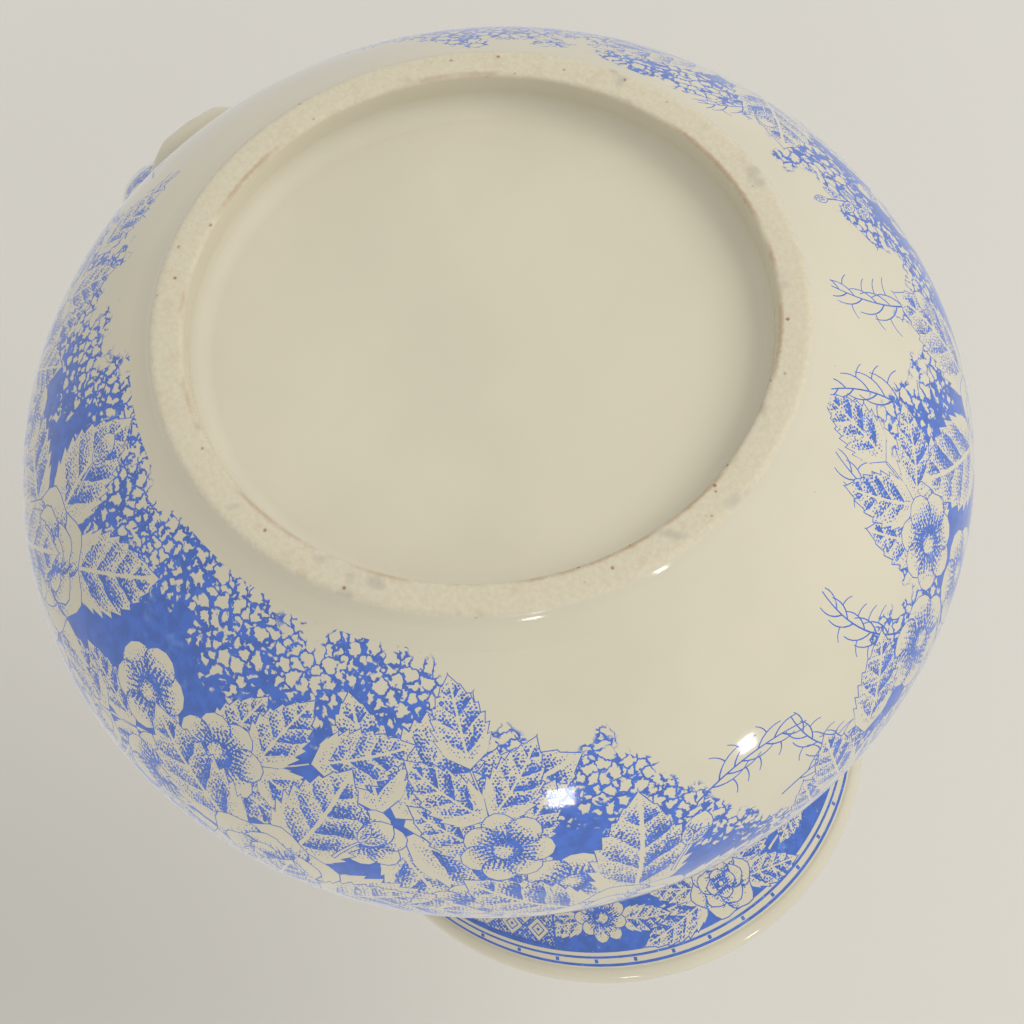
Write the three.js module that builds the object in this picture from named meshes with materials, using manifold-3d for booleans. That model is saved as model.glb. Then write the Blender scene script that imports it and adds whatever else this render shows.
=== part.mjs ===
// A squat one-handled pitcher of glazed earthenware, in millimetres, with +Z up and the table at z = 0.
// The pouring lip points along +X and the handle stands on the other side.

import * as THREE from 'three';
import { mergeVertices } from 'three/addons/utils/BufferGeometryUtils.js';
import Module from 'manifold-3d';

const wasm = await Module();
wasm.setup();

// Driving dimensions of the body
const bellyRadius = 113.5; // at the widest line
const bellyRise = 77.5; // half height of the rounded form
const widestHeight = 62.5; // widest line above the table
const wall = 6;
const floorThickness = 7;

// Foot ring and the recess inside it
const footInnerRadius = 65;
const footWidth = 7.5; // resting face, without its rounded edges
const footHeight = 5; // table to the crease under the belly
const footSpread = 2.7; // how much wider the ring is at the crease than at the table
const footEdge = 0.9; // rounding of both resting edges
const recessDepth = 10; // table to the underside of the floor

// Neck and pouring lip
const shoulderHeight = 120; // where the shoulder's round form ends
const waistHeight = 133;
const waistRadius = 57;
const neckLead = 0.6; // share of the neck's height over which it leaves along the shoulder's slope
const neckRise = 0.06; // share over which it comes upright at the waist
const frontRadius = 69; // round of the mouth under the spout's edge
const frontReach = 34.5; // centre of that round, ahead of the pot's axis
const backRadius = 58; // round of the mouth's back
const backReach = -3; // centre of that round
const rimHeight = 158; // underside of the lip's edge, over the pot's axis
const rimSlope = 0.09; // rise of the rim for each millimetre towards the spout
const flareBend = 1.8; // 1 is a straight cone, and more turns outwards later
const lipThickness = 4.6;
const rollReach = 3.8; // how far the rounded edge stands out
const rollSwell = 0.4; // how much thicker the rounded edge is, on each side

// Handle: the middle of its strap runs through these distances from the axis and heights
const mouthBack = backRadius - backReach;
const handlePath = [
  [bellyRadius + 7.5, widestHeight - 12.5],
  [bellyRadius + 2, widestHeight - 0.5],
  [bellyRadius + 6.5, widestHeight + 13.5],
  [bellyRadius + 19.5, widestHeight + 28.5],
  [bellyRadius + 35, widestHeight + 42.5],
  [bellyRadius + 43.5, rimHeight - 40],
  [bellyRadius + 38.5, rimHeight - 28],
  [bellyRadius + 20.5, rimHeight - 19],
  [mouthBack + 47, rimHeight - 15],
  [mouthBack + 21, rimHeight - 14],
  [mouthBack - 7, rimHeight - 12],
];
const gripWidth = 20;
const gripThickness = 12;
const lowerWidth = 34; // spread of the lower end
const upperWidth = 27; // spread of the upper end
const endThickness = 9;
const handleTurn = -2; // degrees that the handle sits off the line of the spout, set by eye
const lowerShare = 0.2; // share of the strap's length that is the lower terminal
const upperShare = 0.2;
const lowerSpread = [0.1, 0.3]; // the spread fades out between these shares of the length
const upperSpread = [0.65, 0.95];
const tipShare = 0.045; // share of the length over which the lower tip rounds off
const tipBlunt = 0.12; // what is left of the tip's roundness at its very end

// Fineness of the facets
const roundSteps = 48;
const wallSteps = 6;
const flareSteps = 6;
const strapSteps = 36;
const sectionSteps = 14;
const rollSteps = 6;
const coveSteps = 4;

const gap = 0.3; // kept between pieces that meet on a curved face

const floorTop = recessDepth + floorThickness;
const turnAngle = THREE.MathUtils.degToRad(handleTurn);
const tau = 2 * Math.PI;

const steps = (count, make) => Array.from({ length: count + 1 }, (_, i) => make(i / count));
const between = (from, to, share) => from + (to - from) * share;

// --- Solids from points -------------------------------------------------------------------------

function signedVolume(geometry) {
  const corner = geometry.getAttribute('position');
  const order = geometry.getIndex().array;
  const [a, b, c] = [new THREE.Vector3(), new THREE.Vector3(), new THREE.Vector3()];
  let volume = 0;
  for (let i = 0; i < order.length; i += 3) {
    a.fromBufferAttribute(corner, order[i]);
    b.fromBufferAttribute(corner, order[i + 1]);
    c.fromBufferAttribute(corner, order[i + 2]);
    volume += a.dot(b.cross(c)) / 6;
  }
  return volume;
}

// Shares the corners of neighbouring faces and turns the faces outwards
function closed(geometry) {
  geometry.deleteAttribute('normal');
  geometry.deleteAttribute('uv');
  const merged = mergeVertices(geometry);
  if (signedVolume(merged) < 0) merged.getIndex().array.reverse();
  merged.computeVertexNormals();
  return merged;
}

// A solid of revolution about the pot's axis, from [radius, height] points
function turned(profile) {
  const points = profile.map(([radius, height]) => new THREE.Vector2(radius, height));
  const geometry = new THREE.LatheGeometry([...points, points[0].clone()], roundSteps);
  geometry.rotateX(Math.PI / 2);
  return closed(geometry);
}

// A skin over rings with the same number of points. It joins up with its start, or ends in two caps.
function lofted(rings, joined) {
  const around = rings[0].length;
  const corners = rings.flat().flatMap((point) => point.toArray());
  const faces = [];
  const spans = joined ? rings.length : rings.length - 1;
  for (let i = 0; i < spans; i++) {
    const here = i * around;
    const next = ((i + 1) % rings.length) * around;
    for (let j = 0; j < around; j++) {
      const k = (j + 1) % around;
      faces.push(here + j, here + k, next + k, here + j, next + k, next + j);
    }
  }
  if (!joined) {
    for (const [ring, turn] of [[0, 1], [rings.length - 1, -1]]) {
      const middle = new THREE.Vector3();
      rings[ring].forEach((point) => middle.addScaledVector(point, 1 / around));
      const centre = corners.push(...middle.toArray()) / 3 - 1;
      for (let j = 0; j < around; j++) {
        const edge = [ring * around + j, ring * around + ((j + 1) % around)];
        faces.push(centre, ...(turn > 0 ? edge.reverse() : edge));
      }
    }
  }
  const geometry = new THREE.BufferGeometry();
  geometry.setAttribute('position', new THREE.Float32BufferAttribute(corners, 3));
  geometry.setIndex(faces);
  return closed(geometry);
}

function toSolid(geometry) {
  return new wasm.Manifold(new wasm.Mesh({
    numProp: 3,
    vertProperties: new Float32Array(geometry.getAttribute('position').array),
    triVerts: new Uint32Array(geometry.getIndex().array),
  }));
}

function fromSolid(solid) {
  const mesh = solid.getMesh();
  const geometry = new THREE.BufferGeometry();
  geometry.setAttribute('position', new THREE.BufferAttribute(mesh.vertProperties, 3));
  geometry.setIndex(new THREE.BufferAttribute(mesh.triVerts, 1));
  geometry.computeVertexNormals();
  return geometry;
}

// --- Turned body --------------------------------------------------------------------------------

// Radius of the rounded form at a height, this far inside its outer face
function bellyAt(height, inside = 0) {
  const rise = (height - widestHeight) / (bellyRise - inside);
  return (bellyRadius - inside) * Math.sqrt(1 - rise * rise);
}

// The rounded form's face from one height to another
function bellyFace(from, to, inside) {
  return steps(wallSteps, (share) => {
    const height = between(from, to, share);
    return [bellyAt(height, inside), height];
  });
}

function bowlPart(from, to) {
  return turned([...bellyFace(from, to, 0), ...bellyFace(to, from, wall)]);
}

function footRing() {
  const outer = footInnerRadius + footWidth;
  const earlySpread = 0.3 * footSpread;
  return turned([
    [footInnerRadius + footEdge, 0],
    [outer - footEdge, 0],
    [outer + earlySpread, footEdge],
    [outer + footSpread, footHeight],
    [footInnerRadius - gap, footHeight],
    [footInnerRadius, footEdge],
  ]);
}

function baseFloor() {
  const coveRadius = recessDepth - footHeight;
  const coveCentre = footInnerRadius - gap - coveRadius;
  const cove = steps(coveSteps, (share) => {
    const angle = share * Math.PI / 2;
    return [coveCentre + coveRadius * Math.cos(angle), footHeight + coveRadius * Math.sin(angle)];
  });
  const side = bellyFace(footHeight, floorTop, 0).filter((point, i) => i % 2 === 0);
  return turned([...side, [0, floorTop], [0, recessDepth], ...cove.reverse()]);
}

// The neck's face leaves the rounded form along its slope and ends upright at the waist
function neckFace(inside) {
  const start = bellyAt(shoulderHeight, inside);
  const end = waistRadius - inside;
  const ratio = (bellyRadius - inside) / (bellyRise - inside);
  const slope = ratio * ratio * (shoulderHeight - widestHeight) / start;
  const height = waistHeight - shoulderHeight;
  const lead = neckLead * height;
  const curve = new THREE.CubicBezierCurve(
    new THREE.Vector2(start, shoulderHeight),
    new THREE.Vector2(start - slope * lead, shoulderHeight + lead),
    new THREE.Vector2(end, waistHeight - neckRise * height),
    new THREE.Vector2(end, waistHeight),
  );
  return curve.getPoints(wallSteps).map((point) => point.toArray());
}

function neck() {
  return turned([...neckFace(0), ...neckFace(wall).reverse()]);
}

// --- Flared mouth -------------------------------------------------------------------------------

// The mouth seen from above: a wide round towards the spout, a smaller one behind, and straights
function mouthOutline() {
  const lean = Math.acos((backRadius - frontRadius) / (frontReach - backReach));
  const outline = new THREE.Path();
  outline.absarc(frontReach, 0, frontRadius, 0, lean, false);
  outline.absarc(backReach, 0, backRadius, lean, tau - lean, false);
  outline.absarc(frontReach, 0, frontRadius, -lean, 0, false);
  return outline.getSpacedPoints(roundSteps).slice(0, roundSteps);
}

// Where the lip's underside passes at a share of its way from waist to rim, with its two directions
function flareAt(edge, share) {
  const angle = Math.atan2(edge.y, edge.x);
  const run = edge.length() - waistRadius;
  const climb = rimHeight + rimSlope * edge.x - waistHeight;
  const radius = waistRadius + run * share ** flareBend;
  const slant = new THREE.Vector2(run * flareBend * share ** (flareBend - 1), climb).normalize();
  const outward = new THREE.Vector3(Math.cos(angle), Math.sin(angle), 0);
  const upward = new THREE.Vector3(0, 0, 1);
  return {
    point: outward.clone().multiplyScalar(radius).setZ(waistHeight + climb * share),
    along: outward.clone().multiplyScalar(slant.x).addScaledVector(upward, slant.y),
    inward: outward.clone().multiplyScalar(-slant.y).addScaledVector(upward, slant.x),
  };
}

function pouringLip() {
  return lofted(mouthOutline().map((edge) => {
    const under = steps(flareSteps, (share) => flareAt(edge, share).point);
    const over = steps(flareSteps, (share) => {
      const { point, inward } = flareAt(edge, share);
      return point.addScaledVector(inward, between(wall, lipThickness, share));
    });
    return [...under, ...over.reverse()];
  }), true);
}

function lipRoll() {
  const half = lipThickness / 2 + rollSwell;
  return lofted(mouthOutline().map((edge) => {
    const { point, along, inward } = flareAt(edge, 1);
    point.addScaledVector(along, gap).addScaledVector(inward, lipThickness / 2);
    return steps(rollSteps, (share) => {
      const angle = (0.5 - share) * Math.PI;
      return point.clone()
        .addScaledVector(along, (rollReach - gap) * Math.cos(angle))
        .addScaledVector(inward, half * Math.sin(angle));
    });
  }), true);
}

// --- Handle -------------------------------------------------------------------------------------

// The body's outside without its hollow, grown by the gap, which the handle's ends are cut by. It is
// turned back by the handle's own turn, so that its facets lie along the body's.
function bodyEnvelope() {
  const pot = turned([
    ...bellyFace(floorTop, widestHeight, -gap),
    ...bellyFace(widestHeight, shoulderHeight, -gap),
    ...neckFace(-gap),
    [0, waistHeight],
    [0, floorTop],
  ]);
  const edges = mouthOutline();
  const rings = steps(flareSteps, (share) => edges.map((edge) => {
    const { point, inward } = flareAt(edge, share);
    return point.addScaledVector(inward, -gap);
  }));
  rings.push(rings.at(-1).map((point) => point.clone().setZ(point.z + 2 * lipThickness)));
  rings.unshift(rings[0].map((point) => point.clone().setZ(shoulderHeight)));
  const parts = [pot, lofted(rings, false)].map((part) => toSolid(part.rotateZ(-turnAngle)));
  return parts[0].add(parts[1]);
}

// Width and thickness of the strap at a share of its length: it spreads towards both ends
function strapSize(share) {
  const low = 1 - THREE.MathUtils.smoothstep(share, ...lowerSpread);
  const high = THREE.MathUtils.smoothstep(share, ...upperSpread);
  const tip = Math.sqrt(Math.min(1, share / tipShare + tipBlunt));
  return {
    width: (gripWidth + (lowerWidth - gripWidth) * low + (upperWidth - gripWidth) * high) * tip,
    thickness: between(gripThickness, endThickness, Math.max(low, high)) * tip,
  };
}

const strapCurve = new THREE.CatmullRomCurve3(
  handlePath.map(([out, height]) => new THREE.Vector3(-out, 0, height)), false, 'centripetal',
);

function strapSection(share) {
  const middle = strapCurve.getPointAt(share);
  const along = strapCurve.getTangentAt(share);
  const across = new THREE.Vector3(0, 1, 0);
  const outward = new THREE.Vector3().crossVectors(across, along);
  const { width, thickness } = strapSize(share);
  return steps(sectionSteps, (turn) => {
    const side = Math.cos(turn * tau);
    const face = Math.sin(turn * tau);
    return middle.clone()
      .addScaledVector(across, side * width / 2)
      .addScaledVector(outward, face * thickness / 2);
  }).slice(0, sectionSteps);
}

// One length of the strap, cut to seat on the body
function strapLength(from, to, envelope) {
  const count = Math.max(4, Math.round((to - from) * strapSteps));
  const rings = steps(count, (share) => strapSection(between(from, to, share)));
  return fromSolid(toSolid(lofted(rings, false)).subtract(envelope));
}

// --- Assembly -----------------------------------------------------------------------------------

const cream = '#d3c9b4';
const printed = '#8f9dbd';

function piece(name, geometry, color, roughness) {
  const material = new THREE.MeshStandardMaterial({ color, roughness, metalness: 0 });
  const mesh = new THREE.Mesh(geometry, material);
  mesh.name = name;
  return mesh;
}

const envelope = bodyEnvelope();
const joint = gap / 2 / strapCurve.getLength();
const handle = new THREE.Group();
handle.add(
  piece('handle_lower_terminal', strapLength(0, lowerShare - joint, envelope), cream, 0.2),
  piece('handle_strap', strapLength(lowerShare + joint, 1 - upperShare - joint, envelope), printed, 0.2),
  piece('handle_upper_terminal', strapLength(1 - upperShare + joint, 1, envelope), cream, 0.2),
);
handle.rotation.z = turnAngle;

const pitcher = new THREE.Group();
pitcher.add(
  piece('foot_ring', footRing(), '#c9b48f', 0.6),
  piece('base_floor', baseFloor(), cream, 0.2),
  piece('belly', bowlPart(floorTop, widestHeight), printed, 0.2),
  piece('shoulder', bowlPart(widestHeight, shoulderHeight), printed, 0.2),
  piece('neck', neck(), cream, 0.2),
  piece('pouring_lip', pouringLip(), printed, 0.2),
  piece('lip_roll', lipRoll(), cream, 0.2),
  handle,
);

// The origin lies on the table, under the middle of the overall length
const bounds = new THREE.Box3().setFromObject(pitcher, true);
pitcher.position.x = -(bounds.min.x + bounds.max.x) / 2;
pitcher.position.y = -(bounds.min.y + bounds.max.y) / 2;

const group = new THREE.Group();
group.add(pitcher);

export default group;
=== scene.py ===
import math
import random
from collections import namedtuple

import bmesh
import bpy
import numpy as np
from bpy.props import FloatProperty, FloatVectorProperty, IntProperty, PointerProperty
from mathutils import Matrix, Vector, kdtree
from mathutils.geometry import delaunay_2d_cdt


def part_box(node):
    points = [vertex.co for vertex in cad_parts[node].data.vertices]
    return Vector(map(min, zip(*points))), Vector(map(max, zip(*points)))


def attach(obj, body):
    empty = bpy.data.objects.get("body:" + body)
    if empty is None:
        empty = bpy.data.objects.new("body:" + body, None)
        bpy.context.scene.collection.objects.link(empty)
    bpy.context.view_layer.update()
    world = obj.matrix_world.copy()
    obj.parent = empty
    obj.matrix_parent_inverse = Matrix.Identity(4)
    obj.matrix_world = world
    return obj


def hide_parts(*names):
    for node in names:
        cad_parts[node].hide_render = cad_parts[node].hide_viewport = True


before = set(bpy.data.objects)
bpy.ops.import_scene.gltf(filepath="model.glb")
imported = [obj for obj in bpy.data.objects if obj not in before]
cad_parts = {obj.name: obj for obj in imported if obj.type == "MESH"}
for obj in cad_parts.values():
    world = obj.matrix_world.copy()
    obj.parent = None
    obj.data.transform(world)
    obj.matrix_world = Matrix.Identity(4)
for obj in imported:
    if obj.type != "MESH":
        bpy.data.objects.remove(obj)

bl_info = {
    "name": "Squat Printed Pitcher",
    "version": (1, 0, 0),
    "blender": (4, 5, 0),
    "location": "3D View > Sidebar > Pitcher",
    "description": "A squat glazed pitcher with a blue floral print, modelled round its packed solids",
    "category": "Add Mesh",
}

bpy.context.view_layer.update()

# All the maker's sizes below are in millimetres from the pot's axis and the table. The axis stands where
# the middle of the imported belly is.
BELLY_LOW, BELLY_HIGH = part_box("belly")
AXIS_X = (BELLY_LOW.x + BELLY_HIGH.x) / 2
BELLY_RADIUS = (BELLY_HIGH.y - BELLY_LOW.y) / 2
WIDEST_HEIGHT = BELLY_HIGH.z
SHOULDER_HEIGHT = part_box("shoulder")[1].z
WAIST_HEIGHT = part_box("neck")[1].z
FLOOR_LOW, FLOOR_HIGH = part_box("base_floor")
FULL_TURN = 2 * math.pi


def tint(red, green, blue):
    """A colour as it looks, from 0 to 255, as the linear colour that a shader takes."""
    parts = [part / 255 for part in (red, green, blue)]
    return tuple(p / 12.92 if p <= 0.04045 else ((p + 0.055) / 1.055) ** 2.4 for p in parts)


# --- Settings ---------------------------------------------------------------------------------------


class PitcherForm(bpy.types.PropertyGroup):
    belly_radius: FloatProperty(name="Belly radius", description="At the widest line",
                                default=BELLY_RADIUS, unit="LENGTH")
    belly_rise: FloatProperty(name="Belly rise", description="Half height of the rounded form",
                              default=0.0775, unit="LENGTH")
    wall: FloatProperty(name="Wall", description="Thickness of the pot's wall", default=0.006, unit="LENGTH")
    foot_inner_radius: FloatProperty(name="Foot inner radius", description="Inside of the foot ring",
                                     default=0.065, unit="LENGTH")
    foot_width: FloatProperty(name="Foot width", description="Width of the foot ring", default=0.0075,
                              unit="LENGTH")
    waist_radius: FloatProperty(name="Waist radius", description="Narrowest part of the neck",
                                default=0.057, unit="LENGTH")
    rim_height: FloatProperty(name="Rim height", description="Lip's edge over the pot's axis",
                              default=0.158, unit="LENGTH")
    grip_width: FloatProperty(name="Grip width", description="Width of the handle in its middle",
                              default=0.020, unit="LENGTH")
    grip_thickness: FloatProperty(name="Grip thickness", description="Thickness of the handle in its middle",
                                  default=0.012, unit="LENGTH")


class PitcherFinish(bpy.types.PropertyGroup):
    cream: FloatVectorProperty(name="Cream glaze", description="Bare glaze over the body", subtype="COLOR",
                               default=tint(214, 207, 184), size=3, min=0, max=1)
    ink: FloatVectorProperty(name="Blue ink", description="The print's full strength", subtype="COLOR",
                             default=tint(55, 104, 199), size=3, min=0, max=1)
    pale_ink: FloatVectorProperty(name="Thin ink", description="Where the ink took badly", subtype="COLOR",
                                  default=tint(108, 150, 220), size=3, min=0, max=1)
    stain: FloatVectorProperty(name="Stain", description="Brown tea and water stain on the foot",
                               subtype="COLOR", default=tint(158, 112, 66), size=3, min=0, max=1)
    gloss: FloatProperty(name="Glaze roughness", description="0 is a mirror", default=0.09, min=0, max=1)
    stipple: FloatProperty(name="Stipple", description="Distance between the engraver's dots",
                           default=0.00062, unit="LENGTH")
    floret: FloatProperty(name="Floret", description="Size of the small florets round the print",
                          default=0.0029, unit="LENGTH")
    seed: IntProperty(name="Seed", description="Another arrangement of the sprays", default=7)


# --- The pot's faces as formulas --------------------------------------------------------------------


class PotForm:
    """The pitcher's outside and inside, in millimetres."""

    foot_height = 5.0
    front_radius, front_reach = 69.0, 34.5
    back_radius, back_reach = 58.0, -3.0
    rim_slope = 0.09
    flare_bend = 1.8
    lip_thickness = 4.6
    handle_turn = math.radians(-2)

    def __init__(self, settings):
        self.belly_radius = settings.belly_radius * 1000
        self.belly_rise = settings.belly_rise * 1000
        self.wall = settings.wall * 1000
        self.foot_inner = settings.foot_inner_radius * 1000
        self.foot_outer = self.foot_inner + settings.foot_width * 1000
        self.waist_radius = settings.waist_radius * 1000
        self.rim_height = settings.rim_height * 1000
        self.widest = WIDEST_HEIGHT * 1000
        self.shoulder = SHOULDER_HEIGHT * 1000
        self.waist = WAIST_HEIGHT * 1000
        self.lean = math.acos((self.back_radius - self.front_radius) / (self.front_reach - self.back_reach))
        self.mouth, self.mouth_run = self._mouth_line()

    def belly_at(self, height, inside=0.0):
        rise = (height - self.widest) / (self.belly_rise - inside)
        return (self.belly_radius - inside) * math.sqrt(1 - rise * rise)

    def profile(self, low, inside=0.0, steps=90):
        """Radius and height from the foot to the waist, along the belly, shoulder and neck."""
        start = math.asin((low - self.widest) / (self.belly_rise - inside))
        end = math.asin((self.shoulder - self.widest) / (self.belly_rise - inside))
        belly = []
        for i in range(steps + 1):
            angle = start + (end - start) * i / steps
            belly.append(((self.belly_radius - inside) * math.cos(angle),
                          self.widest + (self.belly_rise - inside) * math.sin(angle)))
        top, narrow = belly[-1][0], self.waist_radius - inside
        ratio = (self.belly_radius - inside) / (self.belly_rise - inside)
        slope = ratio * ratio * (self.shoulder - self.widest) / top
        climb = self.waist - self.shoulder
        marks = [(top, self.shoulder), (top - slope * 0.6 * climb, self.shoulder + 0.6 * climb),
                 (narrow, self.waist - 0.06 * climb), (narrow, self.waist)]
        neck = []
        for i in range(1, steps // 3 + 1):
            t = i / (steps // 3)
            weights = ((1 - t) ** 3, 3 * t * (1 - t) ** 2, 3 * t * t * (1 - t), t ** 3)
            neck.append(tuple(sum(w * m[k] for w, m in zip(weights, marks)) for k in (0, 1)))
        return np.array(belly + neck)

    def _mouth_line(self):
        """The mouth's outline on the table, and its length run so far as a turn from -pi to pi."""
        front, back = np.linspace(0, self.lean, 300), np.linspace(self.lean, math.pi, 200)
        half = np.concatenate([
            np.c_[self.front_reach + self.front_radius * np.cos(front), self.front_radius * np.sin(front)],
            np.c_[self.back_reach + self.back_radius * np.cos(back), self.back_radius * np.sin(back)]])
        line = np.concatenate([(half * (1, -1))[::-1], half])
        run = np.concatenate([[0], np.cumsum(np.hypot(*np.diff(line, axis=0).T))])
        return line, (run / run[-1] - 0.5) * FULL_TURN

    def mouth_at(self, turn):
        """Point of the mouth's outline for a turn from -pi at the handle to 0 at the spout to pi."""
        turn = (np.asarray(turn) + math.pi) % FULL_TURN - math.pi
        return np.stack([np.interp(turn, self.mouth_run, self.mouth[:, k]) for k in (0, 1)], -1)

    def lip(self, turn, share, depth=0.0, along=0.0):
        """Point of the lip: share runs from the waist to the rim, depth into the wall, along past the rim."""
        edge = self.mouth_at(turn)
        reach = np.hypot(edge[..., 0], edge[..., 1])
        outward = edge / reach[..., None]
        run, climb = reach - self.waist_radius, self.rim_height + self.rim_slope * edge[..., 0] - self.waist
        share = np.maximum(share, 1e-6)
        radius = self.waist_radius + run * share ** self.flare_bend
        slant = np.stack([run * self.flare_bend * share ** (self.flare_bend - 1), climb + 0 * share])
        slant /= np.hypot(*slant)
        radius = radius - depth * slant[1] + along * slant[0]
        height = self.waist + climb * share + depth * slant[0] + along * slant[1]
        return np.concatenate([outward * radius[..., None], height[..., None]], -1)


def in_frame(points):
    """Millimetres from the pot's axis as metres in the shared frame."""
    return np.asarray(points, float) * 0.001 + (AXIS_X, 0, 0)


# --- Printed strips ---------------------------------------------------------------------------------


class BodyStrip:
    """The body's outside unrolled: across is the turn about the axis, up is length over radius."""

    columns, rows = 200, 58

    def __init__(self, form):
        line = form.profile(form.foot_height, steps=400)
        lengths = np.hypot(*np.diff(line, axis=0).T)
        middle = (line[1:, 0] + line[:-1, 0]) / 2
        self.rise = np.concatenate([[0], np.cumsum(lengths / middle)])
        self.line = line
        self.height = self.rise[-1]

    def face(self, across, up):
        radius, height = (np.interp(up, self.rise, self.line[:, k]) for k in (0, 1))
        return np.stack([radius * np.cos(across), radius * np.sin(across), height], -1)

    def spot(self, turn, height):
        """Strip coordinates of a place given by its turn in degrees and its height."""
        turn = (math.radians(turn) + math.pi) % FULL_TURN - math.pi
        return np.array([turn, np.interp(height, self.line[:, 1], self.rise)])


class LipStrip:
    """The lip's outside unrolled: across runs round the mouth, up is the share from waist to rim."""

    columns, rows = 200, 22
    height = 1.0

    def __init__(self, form):
        self.form = form

    def face(self, across, up):
        return self.form.lip(np.asarray(across, float), np.asarray(up, float))

    def spot(self, turn, share):
        """Strip coordinates of a place given by its compass turn in degrees and its share."""
        wanted = (math.radians(turn) + math.pi) % FULL_TURN - math.pi
        angles = np.arctan2(self.form.mouth[:, 1], self.form.mouth[:, 0])
        return np.array([np.interp(wanted, angles, self.form.mouth_run), share])


def steepness(strip, spot):
    """Millimetres of the face for one unit across and one unit up the strip."""
    step = 1e-3
    up = min(max(spot[1], 2 * step), strip.height - 2 * step)
    across = strip.face(np.array([spot[0] - step, spot[0] + step]), np.array([up, up]))
    along = strip.face(np.array([spot[0], spot[0]]), np.array([up - step, up + step]))
    return np.array([np.linalg.norm(across[1] - across[0]), np.linalg.norm(along[1] - along[0])]) / (2 * step)


def outward_normals(strip, across, up):
    step = 1e-3
    low, high = np.clip(up - step, 0, strip.height), np.clip(up + step, 0, strip.height)
    side = strip.face(across + step, up) - strip.face(across - step, up)
    rise = strip.face(across, high) - strip.face(across, low)
    normal = np.cross(side, rise)
    return normal / np.linalg.norm(normal, axis=1)[:, None]


# --- Drawing the print ------------------------------------------------------------------------------

# What a shape is, which is also its finish's place on the piece, after the ground's
LEAF, PETAL, HEART, INK, RESERVE, LATTICE = 1, 2, 3, 4, 5, 6
Shape = namedtuple("Shape", "kind outline pen length width bend")


def turned_about(points, angle):
    cosine, sine = math.cos(angle), math.sin(angle)
    return np.asarray(points, float) @ np.array([[cosine, sine], [-sine, cosine]])


class Pen:
    """Draws outlines in millimetres at a place of a strip, each over the ones before it."""

    def __init__(self, shapes, strip, spot, turn=0.0, size=1.0, at=(0.0, 0.0), scale=None):
        self.shapes, self.strip, self.spot = shapes, strip, np.asarray(spot, float)
        self.turn, self.size, self.at = turn, size, np.asarray(at, float)
        self.scale = steepness(strip, self.spot) if scale is None else scale

    def moved(self, along=0.0, side=0.0, turn=0.0, size=1.0):
        at = self.at + turned_about([(along * self.size, side * self.size)], self.turn)[0]
        return Pen(self.shapes, self.strip, self.spot, self.turn + turn, self.size * size, at, self.scale)

    def on_strip(self, points):
        flat = self.at + turned_about(np.asarray(points, float) * self.size, self.turn)
        strip = self.spot + flat / self.scale
        edge = 2e-3
        return np.c_[np.clip(strip[:, 0], edge - math.pi, math.pi - edge),
                     np.clip(strip[:, 1], edge, self.strip.height - edge)]

    def on_paper(self, strip_points):
        flat = (strip_points - self.spot) * self.scale - self.at
        return turned_about(flat, -self.turn) / self.size

    def fill(self, kind, points, length=1.0, width=1.0, bend=0.0):
        outline = self.on_strip(points)
        area = doubled_area(outline)
        if abs(area) > 1e-7:
            self.shapes.append(Shape(kind, outline if area > 0 else outline[::-1], self, length, width, bend))


def enclosed(outline, spots):
    """Which of the spots lie inside the outline."""
    a, b = outline[:, None], np.roll(outline, -1, 0)[:, None]
    above = (a[..., 1] > spots[:, 1]) != (b[..., 1] > spots[:, 1])
    rise = np.where(above, b[..., 1] - a[..., 1], 1.0)
    crossing = a[..., 0] + (spots[:, 1] - a[..., 1]) * (b[..., 0] - a[..., 0]) / rise
    return np.sum(above & (spots[:, 0] < crossing), axis=0) % 2 == 1


def doubled_area(outline):
    """Twice the area of an outline, above zero where it runs anticlockwise."""
    after = np.roll(outline, -1, 0)
    return np.sum(outline[:, 0] * after[:, 1] - after[:, 0] * outline[:, 1])


def left_of(ways):
    """Unit vectors to the left of the given ones."""
    lengths = np.maximum(np.hypot(ways[:, 0], ways[:, 1]), 1e-9)
    return np.c_[-ways[:, 1], ways[:, 0]] / lengths[:, None]


def inset(points, distance):
    """The same outline this far inside itself."""
    points = np.asarray(points, float)
    total = left_of(points - np.roll(points, 1, 0)) + left_of(np.roll(points, -1, 0) - points)
    total /= np.maximum(np.sum(total * total, axis=1)[:, None] / 2, 0.5)
    return points + total * distance * (1 if doubled_area(points) > 0 else -1)


def outlined(pen, kind, points, line=0.3, **facts):
    """A shape with an inked line round it."""
    pen.fill(INK, points)
    pen.fill(kind, inset(points, line / pen.size), **facts)


def circle(radius, count, middle=(0.0, 0.0)):
    angles = np.linspace(0, FULL_TURN, count + 1)[:-1]
    return middle + radius * np.c_[np.cos(angles), np.sin(angles)]


def leaf(pen, length, width, teeth=9, bend=0.1, line=0.28):
    """An ovate leaf along +x, with teeth that lean towards its tip."""
    edge = []
    for i in range(teeth):
        for part in (0.0, 0.93):
            share = (i + part) / teeth
            swell = math.sin(math.pi * share ** 0.8) ** 0.85 if share > 0 else 0.0
            depth = 0.17 * (1 - part) * min(1, 3 * share)
            edge.append((share + 0.25 * part / teeth * (1 - share), width * swell * (1 - depth)))
    sides = edge[1:] + [(1.03, 0.0)] + [(x, -y) for x, y in edge[:0:-1]] + [(0.0, 0.0)]
    points = np.array(sides) * (length, 1)
    points[:, 1] += bend * length * (points[:, 0] / length) ** 2
    outlined(pen, LEAF, points, line, length=length, width=width, bend=bend)


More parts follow.
